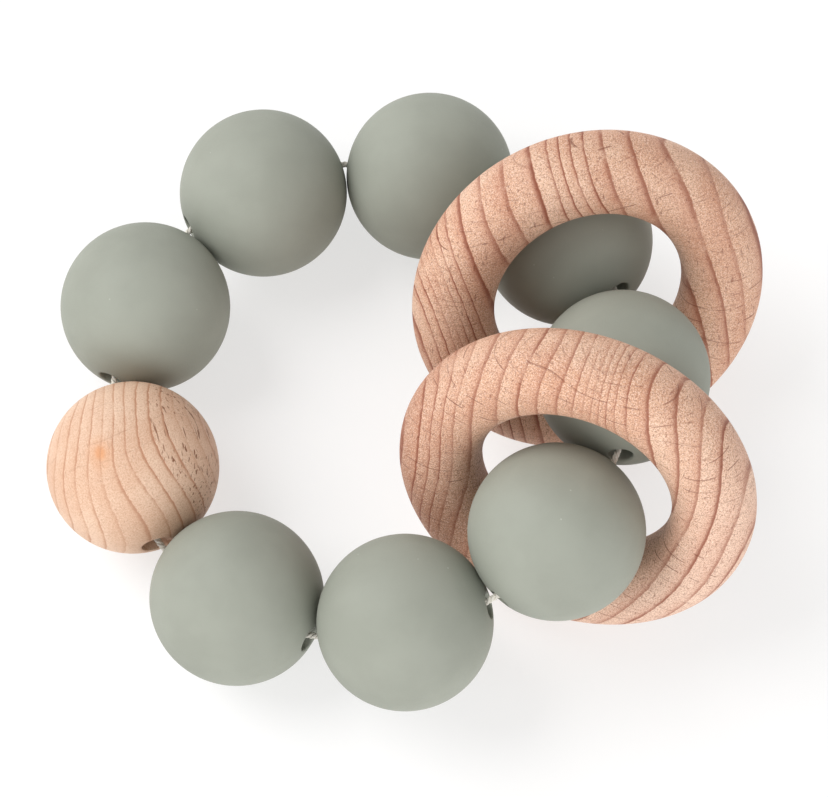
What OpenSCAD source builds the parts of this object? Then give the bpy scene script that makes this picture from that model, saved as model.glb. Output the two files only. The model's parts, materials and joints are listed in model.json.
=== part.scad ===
/* [Beads] */
// Outside diameter of every bead
bead_d = 20; // [18:0.5:21]
// Gap left between neighbouring beads on the strand
bead_gap = 0.05; // [0.05:0.05:0.5]
// Diameter of the bore through a silicone bead
silicone_bore_d = 2.8; // [2.8:0.1:4]
// Diameter of the bore through the wooden bead
wooden_bore_d = 3.4; // [3.4:0.1:5]
// Width of the bevel round the wooden bead's bore mouths
mouth_bevel = 0.3; // [0.1:0.1:0.6]

/* [Strand] */
// Direction from the loop's centre to the first bead, in degrees
first_bead_angle = 76; // [75:1:77]
// Height of the bead that starts to rise towards the rings
rising_bead_z = 14; // [13:0.5:14.5]
// Height of the bead that sits on the front ring
front_ring_bead_z = 20; // [20:0.5:20.5]
// Height of the bead that sits on the back ring
back_ring_bead_z = 19.8; // [19.6:0.1:20]
// Height of the bead that comes down again behind the back ring
falling_bead_z = 15.5; // [15:0.5:15.5]

/* [Cord] */
// Diameter of the cord
cord_d = 0.8; // [0.6:0.1:0.8]
// How far the taut cord bows outwards at mid bead, as a share of the strand's bend there
cord_bow = 0.12; // [0.11:0.01:0.13]
// Diameter of the knot that closes the cord
knot_d = 1.6; // [1.4:0.1:1.6]
// Length of the knot along the cord
knot_len = 2.6; // [2:0.2:4]

/* [Rings] */
// Outside diameter of each wooden ring
ring_d = 41.5; // [41.5:0.1:42]
// Thickness of a ring's round section
ring_section_d = 9.5; // [9:0.1:9.5]
// Plan position of the front ring's foot
front_foot = [21, -20];
// Direction in which the front ring leans back, in degrees
front_heading = 70; // [69:1:71]
// Angle of the front ring from the table, in degrees
front_lean = 64; // [64:1:70]
// Plan position of the back ring's foot
back_foot = [27.5, 1];
// Direction in which the back ring leans back, in degrees
back_heading = 104; // [103:1:105]
// Angle of the back ring from the table, in degrees
back_lean = 55; // [55:1:60]

/* [Hidden] */
$fn = 96;

sage = [0.60, 0.62, 0.57];
beech = [0.86, 0.69, 0.54];
ecru = [0.93, 0.91, 0.86];

// Beads, counted anticlockwise round the loop from the first one. They lie on the table
// except where the two rings lift the strand.
bead_r = bead_d / 2;
bead_pitch = bead_d + bead_gap;
bead_z = [
    bead_r, bead_r, bead_r, bead_r, bead_r,
    rising_bead_z, front_ring_bead_z, back_ring_bead_z, falling_bead_z
];
bead_count = len(bead_z);
wooden_place = 3;
silicone_places = [for (i = [0 : bead_count - 1]) if (i != wooden_place) i];

// Step between two neighbours as seen from above: shorter where one is higher.
function plan_step(i) = sqrt(pow(bead_pitch, 2) - pow(bead_z[(i + 1) % bead_count] - bead_z[i], 2));
plan_steps = [for (i = [0 : bead_count - 1]) plan_step(i)];

// Angle that a step takes up on a circle of radius r, and the sum of the first n of them.
function step_angle(i, r) = 2 * asin(plan_steps[i] / (2 * r));
function turned(n, r) = n == 0 ? 0 : turned(n - 1, r) + step_angle(n - 1, r);

// Radius on which all the steps close into one full turn, found by halving.
function closing_radius(low, high, tries) =
    let (mid = (low + high) / 2)
    tries == 0 ? mid
    : turned(bead_count, mid) > 360 ? closing_radius(mid, high, tries - 1)
    : closing_radius(low, mid, tries - 1);
// The search starts from a loop that is surely too tight and one that is surely too wide.
tightest_r = bead_d * 1.2;
widest_r = bead_d * 2;
halvings = 40;
loop_r = closing_radius(tightest_r, widest_r, halvings);

function heading(i) = first_bead_angle + turned(i % bead_count, loop_r);
function on_plan(r, angle, z) = [r * cos(angle), r * sin(angle), z];
function bead_centre(i) = on_plan(loop_r, heading(i), bead_z[i % bead_count]);
function unit(v) = v / norm(v);
// A bead's bore runs parallel to the line between its two neighbours.
function bead_axis(i) = unit(bead_centre(i + 1) - bead_centre(i + bead_count - 1));

// The cord is drawn taut: it bears on the outer side of each bore at mid bead and on the
// inner side at the mouths, so its route is fuller than the polygon of bead centres.
cord_fullness = 1.29;
rings_per_bead = 8;
cord_sides = 8;
function neighbours_middle(i) = (bead_centre(i + 1) + bead_centre(i + bead_count - 1)) / 2;
function cord_anchor(i) = bead_centre(i) + cord_bow * (bead_centre(i) - neighbours_middle(i));
function cord_pull(i) = bead_axis(i) * bead_pitch * cord_fullness;
function cord_blend(p0, p1, m0, m1, t) =
    (2 * pow(t, 3) - 3 * pow(t, 2) + 1) * p0 + (pow(t, 3) - 2 * pow(t, 2) + t) * m0
    + (3 * pow(t, 2) - 2 * pow(t, 3)) * p1 + (pow(t, 3) - pow(t, 2)) * m1;
function cord_between(i, t) =
    cord_blend(cord_anchor(i), cord_anchor(i + 1), cord_pull(i), cord_pull(i + 1), t);

// The route runs from one face of the knot right round to the other.
knot_centre = cord_anchor(wooden_place);
knot_axis = bead_axis(wooden_place);
knot_face = knot_axis * knot_len / 2;
cord_route = [
    knot_centre + knot_face,
    for (i = [0 : bead_count - 1], s = [0 : rings_per_bead - 1])
        if (i + s > 0) cord_between(wooden_place + i, s / rings_per_bead),
    knot_centre - knot_face
];
cord_last = len(cord_route) - 1;
function cord_heading(k) =
    k == 0 || k == cord_last ? knot_axis : unit(cord_route[k + 1] - cord_route[k - 1]);
function cord_ring(k) =
    let (along = cord_heading(k), side = unit(cross(along, [0, 0, 1])), up = cross(side, along))
    [for (s = [0 : cord_sides - 1])
        cord_route[k] + cord_d / 2 * (cos(360 * s / cord_sides) * side + sin(360 * s / cord_sides) * up)];

ring_section_r = ring_section_d / 2;
ring_core_r = (ring_d - ring_section_d) / 2;

module along_axis(direction) {
    rotate([0, acos(direction[2]), atan2(direction[1], direction[0])]) children();
}

module on_strand(place) {
    translate(bead_centre(place)) along_axis(bead_axis(place)) children();
}

module bored_ball(bore_d) {
    drill_past = 1;
    difference() {
        sphere(d = bead_d);
        cylinder(h = bead_d + 2 * drill_past, d = bore_d, center = true);
    }
}

module silicone_bead(number) {
    color(sage) on_strand(silicone_places[number - 1]) bored_ball(silicone_bore_d);
}

// The cone that breaks the edge of a bore mouth. At mouth_z it meets the ball's surface.
module mouth_cone() {
    mouth_r = wooden_bore_d / 2 + mouth_bevel;
    mouth_z = sqrt(pow(bead_r, 2) - pow(mouth_r, 2));
    translate([0, 0, mouth_z - mouth_bevel])
        cylinder(h = 2 * mouth_bevel, r1 = mouth_r - mouth_bevel, r2 = mouth_r + mouth_bevel);
}

module wooden_bead() {
    color(beech) on_strand(wooden_place) difference() {
        bored_ball(wooden_bore_d);
        mouth_cone();
        mirror([0, 0, 1]) mouth_cone();
    }
}

// A ring stands on its foot and leans back by its angle from the table.
module leaning_ring(foot, toward, lean) {
    color(beech)
        translate([foot[0], foot[1], ring_section_r]) rotate([0, -lean, toward])
            translate([ring_core_r, 0, 0])
                rotate_extrude() translate([ring_core_r, 0]) circle(r = ring_section_r);
}

module ring_front() {
    leaning_ring(front_foot, front_heading, front_lean);
}

module ring_back() {
    leaning_ring(back_foot, back_heading, back_lean);
}

module cord() {
    points = [for (k = [0 : cord_last]) each cord_ring(k)];
    walls = [
        for (k = [0 : cord_last - 1], s = [0 : cord_sides - 1])
            let (a = k * cord_sides + s, b = k * cord_sides + (s + 1) % cord_sides)
            each [[a, b, b + cord_sides], [a, b + cord_sides, a + cord_sides]]
    ];
    first_cap = [for (s = [0 : cord_sides - 1]) cord_sides - 1 - s];
    last_cap = [for (s = [0 : cord_sides - 1]) cord_last * cord_sides + s];
    color(ecru) polyhedron(points = points, faces = concat(walls, [first_cap, last_cap]));
}

// The knot is a small barrel whose flat ends the cord's two ends butt against.
module knot() {
    half = knot_len / 2;
    taper = knot_len / 4;
    lip = 0.1;
    face_r = cord_d / 2 + lip;
    color(ecru) translate(knot_centre) along_axis(knot_axis) rotate_extrude()
        polygon([
            [0, -half], [face_r, -half], [knot_d / 2, taper - half],
            [knot_d / 2, half - taper], [face_r, half], [0, half]
        ]);
}

for (number = [1 : len(silicone_places)])
    silicone_bead(number);
wooden_bead();
ring_front();
ring_back();
cord();
knot();
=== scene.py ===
import json
import math
import random
from bisect import bisect_right

import bmesh
import bpy
from mathutils import Matrix, Vector


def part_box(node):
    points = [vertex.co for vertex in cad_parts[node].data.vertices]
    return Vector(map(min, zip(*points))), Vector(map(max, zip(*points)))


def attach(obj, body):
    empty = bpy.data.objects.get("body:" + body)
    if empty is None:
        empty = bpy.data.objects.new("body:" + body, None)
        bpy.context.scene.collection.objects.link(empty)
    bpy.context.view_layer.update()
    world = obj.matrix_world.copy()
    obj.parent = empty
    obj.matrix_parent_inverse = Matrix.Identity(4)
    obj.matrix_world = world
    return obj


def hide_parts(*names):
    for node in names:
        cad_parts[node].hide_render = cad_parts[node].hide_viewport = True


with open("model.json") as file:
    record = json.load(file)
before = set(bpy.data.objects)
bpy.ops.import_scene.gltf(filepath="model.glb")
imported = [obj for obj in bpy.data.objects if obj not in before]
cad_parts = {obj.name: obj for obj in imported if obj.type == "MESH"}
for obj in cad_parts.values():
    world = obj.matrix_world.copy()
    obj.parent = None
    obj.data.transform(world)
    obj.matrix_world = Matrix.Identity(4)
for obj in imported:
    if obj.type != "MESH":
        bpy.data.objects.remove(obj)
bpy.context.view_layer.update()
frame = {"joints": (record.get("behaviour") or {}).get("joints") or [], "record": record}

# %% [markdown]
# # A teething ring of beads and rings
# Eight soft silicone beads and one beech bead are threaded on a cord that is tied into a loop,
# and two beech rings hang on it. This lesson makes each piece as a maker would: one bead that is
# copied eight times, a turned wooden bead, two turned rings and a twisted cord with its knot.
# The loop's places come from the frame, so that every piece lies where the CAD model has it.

MM = 0.001
SOFT_BEADS = 8
BEAD_R = 10.0 * MM
SILICONE_BORE_R = 1.4 * MM
WOOD_BORE_R = 1.7 * MM
RING_CORE_R = 16.0 * MM
RING_SECTION_R = 4.75 * MM

WORLD_UP = Vector((0, 0, 1))
joints = {joint["name"]: joint for joint in frame["joints"]}
mounts = {mount["name"]: mount for mount in frame["record"]["mounts"]}


def across(axis):
    """The level direction at right angles to an axis."""
    return axis.cross(WORLD_UP).normalized()


def place_along(centre, axis):
    """A placement whose Z runs along the axis, whose X is level and whose Y leans upwards."""
    side = -across(axis)
    up = axis.cross(side)
    turn = Matrix((side, up, axis)).transposed()
    return Matrix.Translation(centre) @ turn.to_4x4()


silicone_beads = {}
for number in range(1, SOFT_BEADS + 1):
    spin = joints[f"silicone_bead_{number}_spin"]
    silicone_beads[number] = (Vector(spin["pos_m"]), Vector(spin["axis"]).normalized())
low, high = (Vector(corner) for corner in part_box("wooden_bead"))
wooden_centre = (low + high) / 2
wooden_axis = (silicone_beads[4][0] - silicone_beads[3][0]).normalized()
rings = {}
for name in ("ring_front", "ring_back"):
    hole = mounts[name + "_hole"]
    rings[name] = (Vector(hole["pos_m"]), Vector(hole["axis"]).normalized())
print("beads at", [tuple(round(v / MM, 1) for v in centre) for centre, _ in silicone_beads.values()])

# %% [markdown]
# ## Camera
# The strand is seen from above and a little in front, with a long lens, so that round things
# stay round.

# %% Camera
TARGET = Vector((5.1, 0.4, 8.0)) * MM
CAMERA_DISTANCE = 370.8 * MM
CAMERA_ELEVATION = math.radians(70.14)

camera_data = bpy.data.cameras.new("camera")
camera_data.lens = 137.0
camera_data.sensor_width = 36.0
camera_data.clip_start = 0.01
camera = bpy.data.objects.new("camera", camera_data)
bpy.context.scene.collection.objects.link(camera)
back = Vector((0, -math.cos(CAMERA_ELEVATION), math.sin(CAMERA_ELEVATION)))
camera.location = TARGET + CAMERA_DISTANCE * back
camera.rotation_euler = back.to_track_quat("Z", "Y").to_euler()
bpy.context.scene.camera = camera
print("camera at", tuple(round(v / MM, 1) for v in camera.location), "mm")

# %% [markdown]
# ## Writing light and materials as sums
# A material is arithmetic on places: where am I on the piece, and how dark is the wood there.
# The light tent is arithmetic too, on the direction that the light comes from. This small class
# wraps a node socket so that sums read like sums.

# %% A socket that does arithmetic
class Value:
    """A number, colour or place that a node gives out."""

    def __init__(self, tree, socket):
        self.tree = tree
        self.socket = socket

    def node(self, kind, settings=None, inputs=None, out=0):
        return add_node(self.tree, kind, settings, inputs, out)

    def maths(self, operation, *values):
        return self.node("ShaderNodeMath", {"operation": operation}, dict(enumerate(values)))

    def __add__(self, other):
        return self.maths("ADD", self, other)

    def __sub__(self, other):
        return self.maths("SUBTRACT", self, other)

    def __rsub__(self, other):
        return self.maths("SUBTRACT", other, self)

    def __mul__(self, other):
        return self.maths("MULTIPLY", self, other)

    def __truediv__(self, other):
        return self.maths("DIVIDE", self, other)

    def __pow__(self, other):
        return self.maths("POWER", self, other)

    __radd__ = __add__
    __rmul__ = __mul__

    def fraction(self):
        return self.maths("FRACT", self)

    def whole(self):
        return self.maths("FLOOR", self)

    def root(self):
        return self.maths("SQRT", self)

    def size(self):
        return self.maths("ABSOLUTE", self)

    def at_least(self, other):
        return self.maths("MAXIMUM", self, other)

    def at_most(self, other):
        return self.maths("MINIMUM", self, other)

    def ramp(self, low, high, to_low=0.0, to_high=1.0):
        """Smooth step from low to high."""
        settings = {"interpolation_type": "SMOOTHSTEP"}
        inputs = {"Value": self, "From Min": low, "From Max": high,
                  "To Min": to_low, "To Max": to_high}
        return self.node("ShaderNodeMapRange", settings, inputs)

    def parts(self):
        """The three numbers of a place, or of a colour."""
        return [self.node("ShaderNodeSeparateXYZ", {}, {0: self}, k) for k in range(3)]

    def moved(self, location=(0, 0, 0), scale=(1, 1, 1)):
        inputs = {"Vector": self, "Location": location, "Scale": scale}
        return self.node("ShaderNodeMapping", {"vector_type": "POINT"}, inputs)

    def noise(self, scale, detail=2.0, roughness=0.5):
        inputs = {"Vector": self, "Scale": scale, "Detail": detail, "Roughness": roughness}
        return self.node("ShaderNodeTexNoise", {}, inputs)

    def cells(self, scale, out=0):
        """How far the nearest of many scattered points is, or with out=1 that point's colour."""
        return self.node("ShaderNodeTexVoronoi", {}, {"Vector": self, "Scale": scale}, out)

    def random_of(self, seed=0.0):
        """A steady random number for each whole number."""
        place = self.node("ShaderNodeCombineXYZ", {}, {"X": self, "Y": seed})
        return self.node("ShaderNodeTexWhiteNoise", {"noise_dimensions": "3D"}, {"Vector": place})

    def between(self, first, second):
        """A colour that goes from the first to the second as this number goes from 0 to 1."""
        inputs = {"Factor": self, 6: first, 7: second}
        return self.node("ShaderNodeMix", {"data_type": "RGBA"}, inputs, 2)

    def mix(self, other, share):
        """This colour with a share, from 0 to 1, of another laid over it."""
        return share.between(self, other)


def add_node(tree, kind, settings=None, inputs=None, out=0):
    node = tree.nodes.new(kind)
    for key, value in (settings or {}).items():
        setattr(node, key, value)
    for key, value in (inputs or {}).items():
        if isinstance(value, Value):
            tree.links.new(value.socket, node.inputs[key])
        else:
            node.inputs[key].default_value = value
    return Value(tree, node.outputs[out])


# %% [markdown]
# ## Light
# A light tent is a white dome. Its walls are brighter than its top, so that the sides of round
# things are lit too. One large soft lamp at the upper left gives the shapes their direction, and
# a weaker one, low in front, opens the shadows on the near side.

# %% Light tent
SKY_TOP = 0.50
SKY_WALL = 0.85
EAST_SHARE = 0.1
NORTH_SHARE = 0.25

scene = bpy.context.scene
scene.view_settings.view_transform = "Standard"
world = bpy.data.worlds.new("light tent")
world.use_nodes = True
east, north, height = add_node(world.node_tree, "ShaderNodeTexCoord").parts()
near_floor = (1.0 - height.at_least(0.0)) ** 2.0
sides = (1.0 - EAST_SHARE * east) * (1.0 - NORTH_SHARE * north)
brightness = (SKY_TOP + SKY_WALL * near_floor) * sides
sky = world.node_tree.nodes["Background"]
sky.inputs["Color"].default_value = (1.0, 1.0, 1.0, 1.0)
world.node_tree.links.new(brightness.socket, sky.inputs["Strength"])
scene.world = world


# %% Two soft lamps
def soft_lamp(name, place, width, power):
    data = bpy.data.lights.new(name, "AREA")
    data.shape = "DISK"
    data.size = width
    data.energy = power
    lamp = bpy.data.objects.new(name, data)
    scene.collection.objects.link(lamp)
    lamp.location = place
    lamp.rotation_euler = Vector(place).to_track_quat("Z", "Y").to_euler()
    return lamp


key_lamp = soft_lamp("key_lamp", (-0.70, 0.30, 0.86), 0.9, 10.0)
fill_lamp = soft_lamp("fill_lamp", (0.35, -0.90, 0.30), 0.6, 3.6)
print("lamps:", key_lamp.name, fill_lamp.name)

# %% [markdown]
# ## Working by hand, in code
# The operators that a person clicks also run from code. Each acts on all that is selected, so
# these helpers first deselect everything, and then pick faces and edges by where they lie.

# %% Hand tools
def deselect():
    if bpy.context.object and bpy.context.object.mode != "OBJECT":
        bpy.ops.object.mode_set(mode="OBJECT")
    bpy.ops.object.select_all(action="DESELECT")


def new_piece(name):
    """Name the primitive that was just added and go into edit mode."""
    piece = bpy.context.object
    piece.name = piece.data.name = name
    bpy.ops.object.mode_set(mode="EDIT")
    return piece


def select(piece, kind, test):
    """Select the verts, edges or faces whose middle passes the test."""
    bpy.ops.mesh.select_mode(type=kind.upper())
    bpy.ops.mesh.select_all(action="DESELECT")
    mesh = bmesh.from_edit_mesh(piece.data)
    parts = {"vert": mesh.verts, "edge": mesh.edges, "face": mesh.faces}[kind]
    chosen = 0
    for part in parts:
        if kind == "vert":
            middle = part.co
        else:
            middle = sum((v.co for v in part.verts), Vector()) / len(part.verts)
        if test(middle):
            part.select_set(True)
            chosen += 1
    mesh.select_flush_mode()
    bmesh.update_edit_mesh(piece.data)
    return chosen


def leave_edit(piece):
    bpy.ops.mesh.select_all(action="SELECT")
    bpy.ops.mesh.normals_make_consistent(inside=False)
    bpy.ops.object.mode_set(mode="OBJECT")


def say(piece):
    sizes = [round(v / MM, 2) for v in piece.dimensions]
    print(piece.name, len(piece.data.polygons), "faces,", sizes, "mm")


# %% [markdown]
# ## The bored bead
# Silicone beads are moulded balls with a straight hole; the wooden one is turned and drilled.
# Both start from a ball with its poles on the bore. Two planes cut the poles off, the two open
# edges are bridged into the bore, and the sharp mouths are bevelled: a soft round for silicone,
# and for wood a plainer one in fewer steps. A bevel needs bare surface to run into, so each
# ball has a number of rings that puts none of them close under its mouth. The silicone bead is
# made once about the origin, and each copy is placed later.

# %% A ball with a bore
BALL_SEGMENTS = 96
BORE_CUTS = 12
SAME_HEIGHT = 0.002 * MM
MERGE_WITHIN = 0.001 * MM
SHARP_ANGLE = math.radians(40)


def bored_ball(name, ball_rings, bore_r, mouth_width, mouth_steps):
    """A ball with a bore along Z, whose mouths are bevelled by mouth_width in mouth_steps."""
    deselect()
    bpy.ops.mesh.primitive_uv_sphere_add(
        segments=BALL_SEGMENTS, ring_count=ball_rings, radius=BEAD_R)
    ball = new_piece(name)
    mouth_z = math.sqrt(BEAD_R ** 2 - bore_r ** 2)

    def at_mouth(place):
        return abs(abs(place.z) - mouth_z) < SAME_HEIGHT

    for side in (-1, 1):
        bpy.ops.mesh.select_all(action="SELECT")
        bpy.ops.mesh.bisect(
            plane_co=(0, 0, side * mouth_z), plane_no=(0, 0, side),
            clear_outer=True, threshold=MERGE_WITHIN)
    rim_edges = select(ball, "edge", at_mouth)
    bpy.ops.mesh.bridge_edge_loops(number_cuts=BORE_CUTS)
    select(ball, "edge", at_mouth)
    bpy.ops.mesh.bevel(offset=mouth_width, segments=mouth_steps, profile=0.5)
    leave_edit(ball)
    bpy.ops.object.shade_smooth_by_angle(angle=SHARP_ANGLE)
    print(name, "has", rim_edges, "rim edges")
    say(ball)
    return ball


def settle(piece, placement):
    """Move the mesh to its place, and keep each point's own place on the piece as 'own_place'."""
    own = piece.data.attributes.new("own_place", "FLOAT_VECTOR", "POINT")
    for vertex in piece.data.vertices:
        own.data[vertex.index].vector = vertex.co / MM
    piece.data.transform(placement)
    piece.data.update()


# %% [markdown]
# ## Eight silicone beads
# One bead is enough to model. Each copy gets its own mesh, is turned on its bore by a different
# amount as beads on a strand are, and is then laid in its place.

# %% Copies on the strand
SOFT_BALL_RINGS = 72
SOFT_MOUTH = 0.28 * MM
SOFT_MOUTH_STEPS = 4
SPIN_SEED = 8


def copy_of(piece, name):
    other = piece.copy()
    other.data = piece.data.copy()
    other.name = other.data.name = name
    bpy.context.scene.collection.objects.link(other)
    return other


master_bead = bored_ball(
    "silicone_master", SOFT_BALL_RINGS, SILICONE_BORE_R, SOFT_MOUTH, SOFT_MOUTH_STEPS)
spins = random.Random(SPIN_SEED)
silicone_pieces = []
for number, (centre, axis) in silicone_beads.items():
    bead = copy_of(master_bead, f"soft_bead_{number}")
    turned = Matrix.Rotation(spins.uniform(0, math.tau), 4, "Z")
    settle(bead, place_along(centre, axis) @ turned)
    silicone_pieces.append(bead)
bpy.data.objects.remove(master_bead)
print(len(silicone_pieces), "silicone beads")

# %% [markdown]
# ## The wooden bead
# It is turned from beech to the same size as the others and drilled through. The drill's mouths
# are broken with a narrow bevel, which is where the pale rim round each hole comes from.

# %% Turned wooden bead
WOOD_BALL_RINGS = 56
WOOD_MOUTH = 0.3 * MM
WOOD_MOUTH_STEPS = 2

wooden_bead = bored_ball(
    "beech_bead", WOOD_BALL_RINGS, WOOD_BORE_R, WOOD_MOUTH, WOOD_MOUTH_STEPS)
settle(wooden_bead, place_along(wooden_centre, wooden_axis))

# %% [markdown]
# ## Two turned rings
# A wooden ring is turned on a lathe: the tool rounds one side of the board, the blank is
# flipped, and the other side follows, so the section is never a perfect circle. Here a circle is
# drawn in the section's place, its inner and outer crowns are eased a little, and it is spun
# once round the ring's axis.

# %% Spinning the ring's section
SECTION_STEPS = 64
SPIN_STEPS = 192
CROWN_SHARE = 0.93
CROWN_EASE = 0.994


def turned_ring(name):
    deselect()
    bpy.ops.mesh.primitive_circle_add(
        vertices=SECTION_STEPS, radius=RING_SECTION_R, fill_type="NOTHING",
        location=(RING_CORE_R, 0, 0), rotation=(math.radians(90), 0, 0))
    bpy.ops.object.transform_apply(location=True, rotation=True, scale=True)
    ring = new_piece(name)
    crown = CROWN_SHARE * RING_SECTION_R
    select(ring, "vert", lambda p: abs(p.x - RING_CORE_R) > crown)
    bpy.ops.transform.resize(
        value=(CROWN_EASE, 1, 1), center_override=(RING_CORE_R, 0, 0))
    bpy.ops.mesh.select_all(action="SELECT")
    bpy.ops.mesh.spin(
        steps=SPIN_STEPS, angle=math.tau, center=(0, 0, 0), axis=(0, 0, 1), use_auto_merge=True)
    bpy.ops.mesh.select_all(action="SELECT")
    bpy.ops.mesh.remove_doubles(threshold=MERGE_WITHIN)
    leave_edit(ring)
    bpy.ops.object.shade_smooth()
    say(ring)
    return ring


ring_pieces = {}
for name, (centre, axis) in rings.items():
    ring = turned_ring("turned_" + name)
    settle(ring, place_along(centre, axis))
    ring_pieces[name] = ring

# %% [markdown]
# ## The cord
# A twisted cord of three plies holds the beads. It is pulled taut, so it bears on the outer side
# of each bore at mid bead. Its route is one smooth closed curve through the nine beads, as the
# CAD model has it, and each ply winds round that route with a turn every two cord widths.

# %% The cord's route
CORD_BOW = 0.12
CORD_FULLNESS = 1.29
BEAD_PITCH = 20.05 * MM
KNOT_LENGTH = 2.6 * MM
WOODEN_PLACE = 3

centres = [centre for centre, _ in silicone_beads.values()]
centres.insert(WOODEN_PLACE, wooden_centre)


def centre_of(i):
    return centres[i % len(centres)]


def anchor(i):
    """Where the cord crosses a bead's middle, bowed a little outwards."""
    middle = (centre_of(i - 1) + centre_of(i + 1)) / 2
    return centre_of(i) + CORD_BOW * (centre_of(i) - middle)


def pull(i):
    """How the cord heads through a bead, and how fully it holds that heading."""
    chord = centre_of(i + 1) - centre_of(i - 1)
    return chord.normalized() * BEAD_PITCH * CORD_FULLNESS


def route(t):
    """The cord's middle line, t beads on from the wooden bead."""
    i = WOODEN_PLACE + math.floor(t)
    s = t - math.floor(t)
    return ((2 * s ** 3 - 3 * s ** 2 + 1) * anchor(i) + (s ** 3 - 2 * s ** 2 + s) * pull(i)
            + (3 * s ** 2 - 2 * s ** 3) * anchor(i + 1) + (s ** 3 - s ** 2) * pull(i + 1))


knot_centre = anchor(WOODEN_PLACE)
knot_axis = pull(WOODEN_PLACE).normalized()
FINE = 40
line = [route(k / FINE) for k in range(len(centres) * FINE + 1)]
reach = [0.0]
for a, b in zip(line, line[1:]):
    reach.append(reach[-1] + (b - a).length)
cord_length = reach[-1]
print("cord loop:", round(cord_length / MM, 1), "mm")


def along_route(distance):
    """The point and heading at a distance along the closed route."""
    distance = distance % cord_length
    k = bisect_right(reach, distance) - 1
    k = min(k, len(line) - 2)
    share = (distance - reach[k]) / (reach[k + 1] - reach[k])
    return line[k].lerp(line[k + 1], share), (line[k + 1] - line[k]).normalized()


# %% Laying up three plies
PLIES = 3
PLY_R = 0.185 * MM
LAY_R = 0.2 * MM
TURN_LENGTH = 1.7 * MM
STEPS_PER_TURN = 10


def ply_curve(name, points, radius):
    """A round strand through the points, turned into a mesh."""
    curve = bpy.data.curves.new(name, "CURVE")
    curve.dimensions = "3D"
    curve.bevel_depth = radius
    curve.bevel_resolution = 2  # eight sides
    curve.use_fill_caps = True
    spline = curve.splines.new("POLY")
    spline.points.add(len(points) - 1)
    for point, place in zip(spline.points, points):
        point.co = (*place, 1.0)
    piece = bpy.data.objects.new(name, curve)
    bpy.context.scene.collection.objects.link(piece)
    deselect()
    piece.select_set(True)
    bpy.context.view_layer.objects.active = piece
    bpy.ops.object.convert(target="MESH")
    return bpy.context.object


def joined(name, parts):
    deselect()
    for part in parts:
        part.select_set(True)
    bpy.context.view_layer.objects.active = parts[0]
    bpy.ops.object.join()
    piece = bpy.context.object
    piece.name = piece.data.name = name
    bpy.ops.object.shade_smooth()
    say(piece)
    return piece


first = KNOT_LENGTH / 2
last = cord_length - KNOT_LENGTH / 2
turns = (last - first) / TURN_LENGTH
samples = int(turns * STEPS_PER_TURN)
plies = []
for ply in range(PLIES):
    points = []
    for k in range(samples + 1):
        distance = first + (last - first) * k / samples
        here, heading = along_route(distance)
        side = across(heading)
        rise = side.cross(heading)
        angle = math.tau * (ply / PLIES + turns * k / samples)
        points.append(here + LAY_R * (math.cos(angle) * side + math.sin(angle) * rise))
    plies.append(ply_curve(f"ply_{ply}", points, PLY_R))
cord = joined("twisted_cord", plies)

# %% [markdown]
# ## The knot
# The cord's ends are tied and the knot is pulled back into the wooden bead's bore, where it
# grips. It is a short barrel: a core with the working end wound round it, tapering at both ends.

# %% Winding the knot
KNOT_R = 0.8 * MM
WRAPS = 5
STEPS_PER_WRAP = 14
WRAP_R = 0.24 * MM
CORE_R = 0.34 * MM
END_SHARE = 0.45
TAPER = 3.0
knot_side = across(knot_axis)
knot_rise = knot_side.cross(knot_axis)


def wrap_point(share):
    """A point on the winding, from one end of the knot (0) to the other (1)."""
    angle = math.tau * WRAPS * share
    height = (share - 0.5) * (KNOT_LENGTH - 2 * WRAP_R)
    fullness = min(1.0, END_SHARE + TAPER * min(share, 1 - share))
    radius = (KNOT_R - WRAP_R) * fullness
    return (knot_centre + knot_axis * height
            + radius * (math.cos(angle) * knot_side + math.sin(angle) * knot_rise))


steps = WRAPS * STEPS_PER_WRAP
winding = ply_curve("winding", [wrap_point(k / steps) for k in range(steps + 1)], WRAP_R)
core_ends = [knot_centre + knot_axis * share * KNOT_LENGTH / 2 for share in (-1, -0.5, 0, 0.5, 1)]
core = ply_curve("knot_core", core_ends, CORE_R)
knot = joined("barrel_knot", [winding, core])

# %% [markdown]
# ## Finishes
# Each finish is one material. What is the same all over a piece is set on the shader itself, and
# what changes over the surface is a sum that feeds it.

# %% A new finish
OBJECT_PLACE = 3  # the Texture Coordinate node's Object output
OWN_PLACE = 1  # the Attribute node's Vector output


def material(name, **settings):
    """A new material, with its shader's sockets named in the settings set."""
    made = bpy.data.materials.new(name)
    made.use_nodes = True
    shader = made.node_tree.nodes["Principled BSDF"]
    for key, value in settings.items():
        shader.inputs[key.replace("_", " ")].default_value = value
    return made, made.node_tree, shader


def feed(shader, socket, value):
    shader.id_data.links.new(value.socket, shader.inputs[socket])


def bumped(shader, height, strength):
    """Raise the surface by a height value, given in millimetres."""
    inputs = {"Height": height, "Distance": MM, "Strength": strength}
    feed(shader, "Normal", add_node(shader.id_data, "ShaderNodeBump", inputs=inputs))


def srgb(red, green, blue):
    """A colour as seen on a screen, 0 to 255, as the light it stands for."""
    def light(level):
        level = level / 255
        return level / 12.92 if level <= 0.04045 else ((level + 0.055) / 1.055) ** 2.4
    return (light(red), light(green), light(blue), 1.0)


# %% [markdown]
# ## Silicone
# Moulded silicone is matt and even, the sage pigment clouds it only faintly, and its skin is
# powdery under the finger. A few pale specks of lint cling to it.

# %% Sage silicone
CLOUDS_PER_METRE = 140.0
POWDER_PER_METRE = 5200.0
LINT_PER_METRE = 900.0


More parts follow.
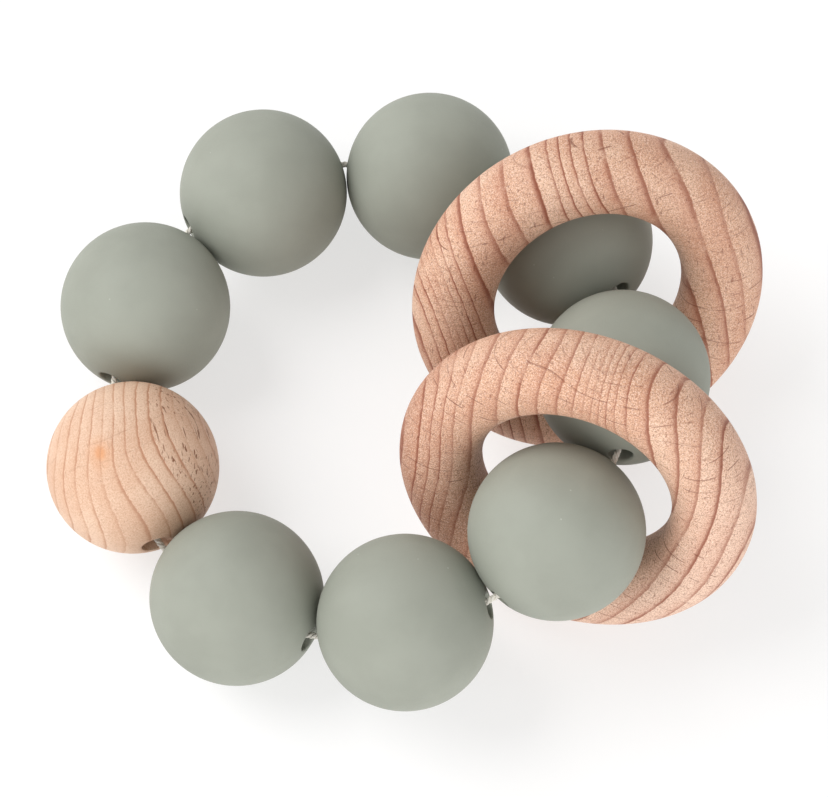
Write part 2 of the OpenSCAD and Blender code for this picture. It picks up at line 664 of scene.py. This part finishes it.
def sage_silicone():
    made, tree, shader = material("sage_silicone", Specular_IOR_Level=0.35)
    place = add_node(tree, "ShaderNodeTexCoord", out=OBJECT_PLACE)
    clouds = place.noise(CLOUDS_PER_METRE, 3.0, 0.55)
    powder = place.noise(POWDER_PER_METRE, 2.0, 0.6)
    colour = clouds.ramp(0.3, 0.7).between(srgb(146, 149, 138), srgb(152, 155, 144))
    lint = place.cells(LINT_PER_METRE)
    sparse = place.cells(LINT_PER_METRE, out=1).parts()[0].ramp(0.975, 0.98)
    speck = sparse * lint.ramp(0.04, 0.12, 1.0, 0.0)
    colour = colour.mix(srgb(206, 208, 198), speck * 0.4)
    feed(shader, "Base Color", colour)
    feed(shader, "Roughness", powder.ramp(0.25, 0.75, 0.6, 0.74))
    bumped(shader, powder * 0.012 + speck * 0.02, 0.6)
    return made


silicone = sage_silicone()
print("finish:", silicone.name)

# %% [markdown]
# ## Beech
# Beech is pale pinkish brown. The wood of each year deepens softly and ends in a thin, darker,
# reddish line. It is strewn with short dark flecks along the grain, and across the grain run
# fine rays. The year layers are worked out through the whole solid, so that they wrap round a
# ring's flanks as they do on turned wood. Each piece is cut from another board, so the same
# recipe gets its own numbers: the way the grain runs, how far apart the lines lie, and how
# strong they are. The bead also has a pin knot.

# %% Tones of beech
RING_TONES = {
    "pale": srgb(228, 191, 163), "warm": srgb(209, 160, 129), "shade": srgb(176, 108, 80),
    "line": srgb(128, 66, 44), "hair": srgb(112, 54, 32), "bright": srgb(246, 218, 198)}
BEAD_TONES = {
    "pale": srgb(226, 195, 170), "warm": srgb(213, 175, 148), "shade": srgb(196, 145, 112),
    "line": srgb(162, 102, 68), "hair": srgb(122, 72, 42), "bright": srgb(240, 216, 192)}


# %% Year lines
LAYER_START = 50.0
LINE_CORE = 0.12
LINE_FADE = 1.1


def line_edges(coordinate, seed, core):
    """How far a point is towards the next whole number, that line's strength, and its edge."""
    within = coordinate.fraction()
    strong = coordinate.whole().random_of(seed)
    return within, strong, within.ramp(1.0 - core * 0.4, 1.0, 1.0, 0.0)


def line_cores(coordinate, seed, core):
    """A dark line that ends at each whole number."""
    within, strong, edge = line_edges(coordinate, seed, core)
    return within.ramp(1.0 - 2.0 * core, 1.0 - core * 0.5) * edge * (0.2 + 0.8 * strong)


def line_shades(coordinate, seed, core, fade):
    """The soft shade that deepens towards each of those lines."""
    within, strong, edge = line_edges(coordinate, seed, core)
    return within ** (fade + 2.2 * strong) * edge * (0.35 + 0.65 * strong)


def year_layers(own, x, y, z, lean, depth, bow, spacing, crowded, fan=0.0):
    """Where a point lies across the grain, in mm, and among the year lines, one to each whole.

    lean and depth turn the layers on the face and into it. bow curves them: how much, from
    which height, and what share of it at the left. spacing is the usual distance between lines
    in mm, and crowded lists places (from, to, extra lines) where they lie closer. fan spreads
    them at the left.
    """
    wander = own.moved(scale=(0.06, 0.04, 0.06)).noise(1.0, 1.0, 0.5) - 0.5
    jagged = own.moved(scale=(1.1, 0.7, 1.1)).noise(1.0, 2.0, 0.6) - 0.5
    bend, bend_from, left_share = bow
    away = y - bend_from
    bowed = away * away * x.ramp(-14.0, 8.0, left_share * bend, bend)
    over = x + y * lean + z * depth + bowed + wander * 5.0 + jagged * 0.3
    if fan:
        over = over - y * x.ramp(-6.0, 2.0, 1.0, 0.0) * fan
    phase = over / spacing + LAYER_START
    for start, end, extra in crowded:
        phase = phase + over.ramp(start, end) * extra
    return over, phase


# %% Rays across the grain and flecks along it
RAY_GAP = 1.9
THIN_RAY_GAP = 0.8
RAY_START = 40.0


def cross_rays(own, y, seed):
    """Rays with gaps in them, and shorter, thinner ones in between."""
    sway = own.moved(scale=(0.07, 0.06, 0.07)).noise(1.0, 1.0, 0.5) - 0.5
    breaks = own.moved(scale=(0.42, 0.5, 0.42)).noise(1.0, 1.0, 0.5).ramp(0.46, 0.55)
    gaps = own.moved(scale=(0.5, 0.8, 0.5)).noise(1.0, 1.0, 0.5).ramp(0.52, 0.62)
    rays = line_cores(y / RAY_GAP + sway * 4.0 + RAY_START, seed + 2.0, 0.05) * breaks
    thin = line_cores(y / THIN_RAY_GAP + sway * 6.0 + RAY_START, seed + 4.0, 0.08) * gaps
    return (rays + thin * 0.6).at_most(1.0)


def grain_flecks(own, over, lying):
    """Short dark flecks. On the bead they are longer, and lie mostly on its right side."""
    if not lying:
        return own.moved(scale=(3.4, 0.75, 3.4)).noise(1.0, 1.0, 0.5).ramp(0.67, 0.73)
    grains = own.moved(scale=(4.0, 4.0, 0.36)).noise(1.0, 1.0, 0.5)
    return grains.ramp(0.615, 0.665) * over.ramp(2.6, 3.4) + grains.ramp(0.67, 0.73) * 0.3


# %% The whole recipe
STIPPLE_PER_MM = 5.5
PORES_PER_MM = 6.5
GRIT_PER_MM = 7.5


def beech(name, tones, seed, layers, strength, sides=(0.0, 0.0), marks=None, lying=False):
    """Beech with its year lines upright on the piece's own face.

    layers says how the year layers run. strength holds the weight of the lines, the cross rays,
    the stipple and the flecks. sides holds the painted shade that darkens the piece towards its
    left and the painted light that makes it paler towards its right. lying is for a piece whose
    grain runs along its own Z, as the bead's does along its bore.
    """
    made, tree, shader = material(name, Specular_IOR_Level=0.4)
    own = add_node(tree, "ShaderNodeAttribute", {"attribute_name": "own_place"}, out=OWN_PLACE)
    x, y, z = own.parts()
    if lying:
        y, z = 0.0 - z, y
    own = own.moved(location=(seed, seed * 1.7, seed * 0.6))
    line_weight, ray_weight, stipple_weight, fleck_weight = strength
    left_painted_shade, right_painted_light = sides

    over, phase = year_layers(own, x, y, z, **layers)
    patchy = own.moved(scale=(0.35, 0.15, 0.35)).noise(1.0, 2.0, 0.5)
    broken = patchy.ramp(0.30, 0.52, 0.45, 1.0)
    line = line_cores(phase, seed, LINE_CORE) * broken
    shade = line_shades(phase, seed, LINE_CORE, LINE_FADE) * broken
    rays = cross_rays(own, y, seed)
    fleck = grain_flecks(own, over, lying)
    tint = phase.whole().random_of(seed + 5.0)
    blotch = own.moved(scale=(0.13, 0.08, 0.13)).noise(1.0, 3.0, 0.5)
    stipple = own.noise(STIPPLE_PER_MM, 3.0, 0.7)
    pores = own.cells(PORES_PER_MM).ramp(0.06, 0.24, 1.0, 0.0)
    grit = own.noise(GRIT_PER_MM, 2.0, 0.6)
    along_grain = (6.5, 6.5, 1.1) if lying else (6.5, 1.1, 6.5)
    fibre = own.moved(scale=along_grain).noise(1.0, 2.0, 0.6)

    colour = (blotch.ramp(0.38, 0.62) * 0.8).between(tones["pale"], tones["warm"])
    colour = colour.mix(tones["warm"], tint * 0.35)
    # Painted shade: the wood darkens towards the left. Painted light: it grows paler towards the
    # right.
    colour = colour.mix(tones["shade"], (x + y * 0.4).ramp(-22.0, -6.0, left_painted_shade, 0.0))
    colour = colour.mix(tones["bright"], (x - y * 0.5).ramp(2.0, 20.0, 0.0, right_painted_light))
    colour = colour.mix(tones["line"], stipple.ramp(0.42, 0.64) * stipple_weight)
    colour = colour.mix(tones["line"], fibre.ramp(0.45, 0.75) * 0.2)
    colour = colour.mix(tones["bright"], grit.ramp(0.46, 0.68) * 1.2 * stipple_weight)
    colour = colour.mix(tones["line"], pores * 0.5 * stipple_weight)
    if marks:
        colour = marks(colour, x, y, z)
    colour = colour.mix(tones["shade"], shade * line_weight)
    colour = colour.mix(tones["line"], line * line_weight)
    colour = colour.mix(tones["hair"], fleck * fleck_weight)
    colour = colour.mix(tones["hair"], rays * ray_weight)
    feed(shader, "Base Color", colour)
    feed(shader, "Roughness", 0.54 + 0.14 * stipple + line * 0.05)
    height = (stipple * 0.030 + grit * 0.012 - pores * 0.02 - line * 0.018 - rays * 0.03
              - fleck * 0.02)
    bumped(shader, height, 0.8)
    return made


# %% A pin knot on the bead
def pin_knot(colour, x, y, z):
    """A small oval knot, where a thin shoot once grew, left of the bead's middle."""
    facing = z.ramp(0.0, 2.0)
    right, above = x + 3.2, (y + 0.5) * 0.72
    distance = (right * right + above * above).root()
    core = distance.ramp(0.25, 0.85, 1.0, 0.0) * facing
    halo = distance.ramp(0.7, 2.0, 1.0, 0.0) * facing
    tan = srgb(214, 142, 84)
    return colour.mix(tan, halo * 0.25).mix(tan, core * 0.6)


# %% Three pieces of beech
ring_woods = {}
# The front ring gets painted shade at its left and painted light at its right.
ring_woods["ring_front"] = beech(
    "beech_front", RING_TONES, seed=3.0, sides=(0.5, 0.5), strength=(0.82, 0.95, 0.62, 0.4),
    layers={"lean": 0.0, "depth": -0.05, "bow": (0.012, 5.0, -0.15), "spacing": 2.5,
            "crowded": [(-20.0, -13.0, 2.0), (-2.0, 7.0, 3.5)]})
ring_woods["ring_back"] = beech(
    "beech_back", RING_TONES, seed=11.0, strength=(1.0, 0.85, 0.6, 0.5),
    layers={"lean": 0.16, "depth": 0.12, "bow": (0.002, 0.0, 1.0), "spacing": 3.2,
            "crowded": [(-21.0, -10.0, 5.0), (0.0, 8.0, 2.5)]})
bead_wood = beech(
    "beech_bead", BEAD_TONES, seed=7.0, strength=(0.62, 0.14, 0.32, 0.68), marks=pin_knot,
    lying=True,
    layers={"lean": 0.0, "depth": -0.1, "bow": (-0.018, 1.0, 1.0), "spacing": 1.5,
            "crowded": [], "fan": 0.3})
print("beech finishes:", [made.name for made in (*ring_woods.values(), bead_wood)])

# %% [markdown]
# ## Cord
# The cord is spun from off-white fibres. Their fine, uneven fuzz is a noise far smaller than a
# ply, and a larger one greys the cord a little where it has picked up dust.

# %% Off-white cord
FIBRES_PER_METRE = 9000.0
DUST_PER_METRE = 600.0


def spun_cord():
    made, tree, shader = material("spun_cord", Roughness=0.85, Specular_IOR_Level=0.2)
    place = add_node(tree, "ShaderNodeTexCoord", out=OBJECT_PLACE)
    fibres = place.noise(FIBRES_PER_METRE, 3.0, 0.65)
    dust = place.noise(DUST_PER_METRE, 2.0, 0.5)
    colour = fibres.ramp(0.4, 0.75).between(srgb(236, 232, 222), srgb(205, 199, 186))
    colour = colour.mix(srgb(190, 186, 176), dust.ramp(0.45, 0.8) * 0.4)
    feed(shader, "Base Color", colour)
    bumped(shader, fibres * 0.03, 0.8)
    return made


cord_fibre = spun_cord()
print("finish:", cord_fibre.name)

# %% [markdown]
# ## The floor
# A flat sheet of white paper, large enough that no edge of it is seen. It glows a little, as
# backlit paper does, so that shadows on it stay soft and pale.

# %% Pale floor
deselect()
bpy.ops.mesh.primitive_plane_add(size=3.0, location=(0, 0, 0))
floor = bpy.context.object
floor.name = "floor"
paper = material(
    "white_paper", Roughness=0.9, Specular_IOR_Level=0.1, Base_Color=(0.40, 0.397, 0.394, 1.0),
    Emission_Color=(1.0, 1.0, 1.0, 1.0), Emission_Strength=0.6)[0]
floor.data.materials.append(paper)
print("floor:", paper.name)

# %% [markdown]
# ## Handing the pieces over
# Every new piece takes a CAD solid's place, moves with that solid's body, and gets its
# finish.

# %% Riding and replacing
def hand_over(piece, body, node, finish):
    piece.data.materials.clear()
    piece.data.materials.append(finish)
    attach(piece, body)
    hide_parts(node)
    print(piece.name, "stands for", node, "and rides on", body)


for number, bead in enumerate(silicone_pieces, 1):
    node = f"silicone_bead_{number}"
    hand_over(bead, node, node, silicone)
hand_over(wooden_bead, "strand", "wooden_bead", bead_wood)
for name, ring in ring_pieces.items():
    hand_over(ring, name, name, ring_woods[name])
hand_over(cord, "strand", "cord", cord_fibre)
hand_over(knot, "strand", "knot", cord_fibre)
